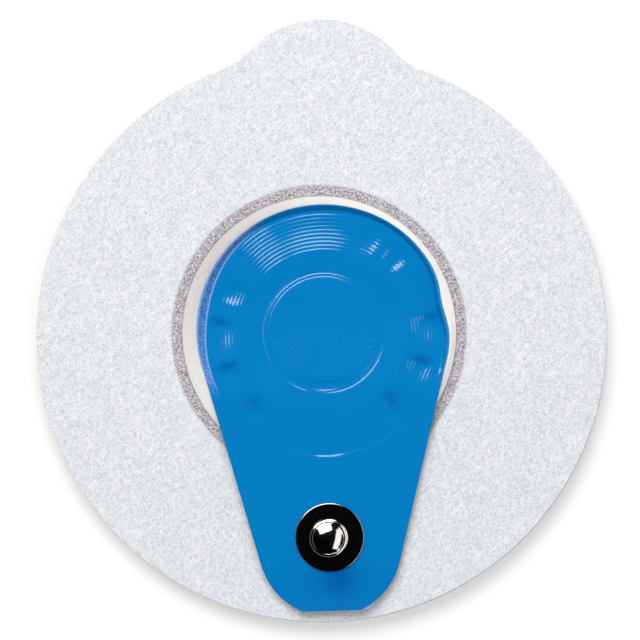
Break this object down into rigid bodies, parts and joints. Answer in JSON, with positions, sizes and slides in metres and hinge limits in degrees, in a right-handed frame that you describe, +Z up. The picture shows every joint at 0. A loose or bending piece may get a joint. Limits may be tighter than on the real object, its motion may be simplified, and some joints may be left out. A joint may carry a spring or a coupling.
{
  "type": "ecg electrode",
  "caption": "Disposable ECG electrode: round white nonwoven tape disc with a lift tab, blue ridged film cover and a tongue that carries the snap stud to one side.",
  "frame": {"origin": "centre of the round tape disc, on the flat foot of the release liner's dome, the face it lies on", "axes": "+Z up through the electrode, away from the skin; +Y towards the lift tab; the snap tongue points along -Y; +X to the right with the tab at the top"},
  "size_m": [0.0681, 0.0719, 0.0067],
  "materials": {
    "nonwoven_tape": "white nonwoven with fine random fibres, adhesive underneath",
    "cream_plastic": "cream moulded plastic, satin",
    "blue_film": "blue formed film, satin with soft highlights",
    "lower_film": "pale laminate film",
    "conductor": "dark conductive film",
    "sensor": "plastic coated with silver and silver chloride",
    "gel": "open foam soaked in wet gel",
    "nickel": "bright nickel plate",
    "nickel_eyelet": "bright nickel plate",
    "clear_liner": "clear thermoformed carrier sheet"
  },
  "bodies": {
    "root": {"backing_disc": "nonwoven_tape", "support_ring": "cream_plastic", "bellows_cover": "blue_film", "tongue_backing": "lower_film", "lead_strip": "conductor", "sensor_disc": "sensor", "gel_sponge": "gel", "snap_stud": "nickel", "snap_eyelet": "nickel_eyelet", "release_liner": "clear_liner"}
  },
  "joints": []
}
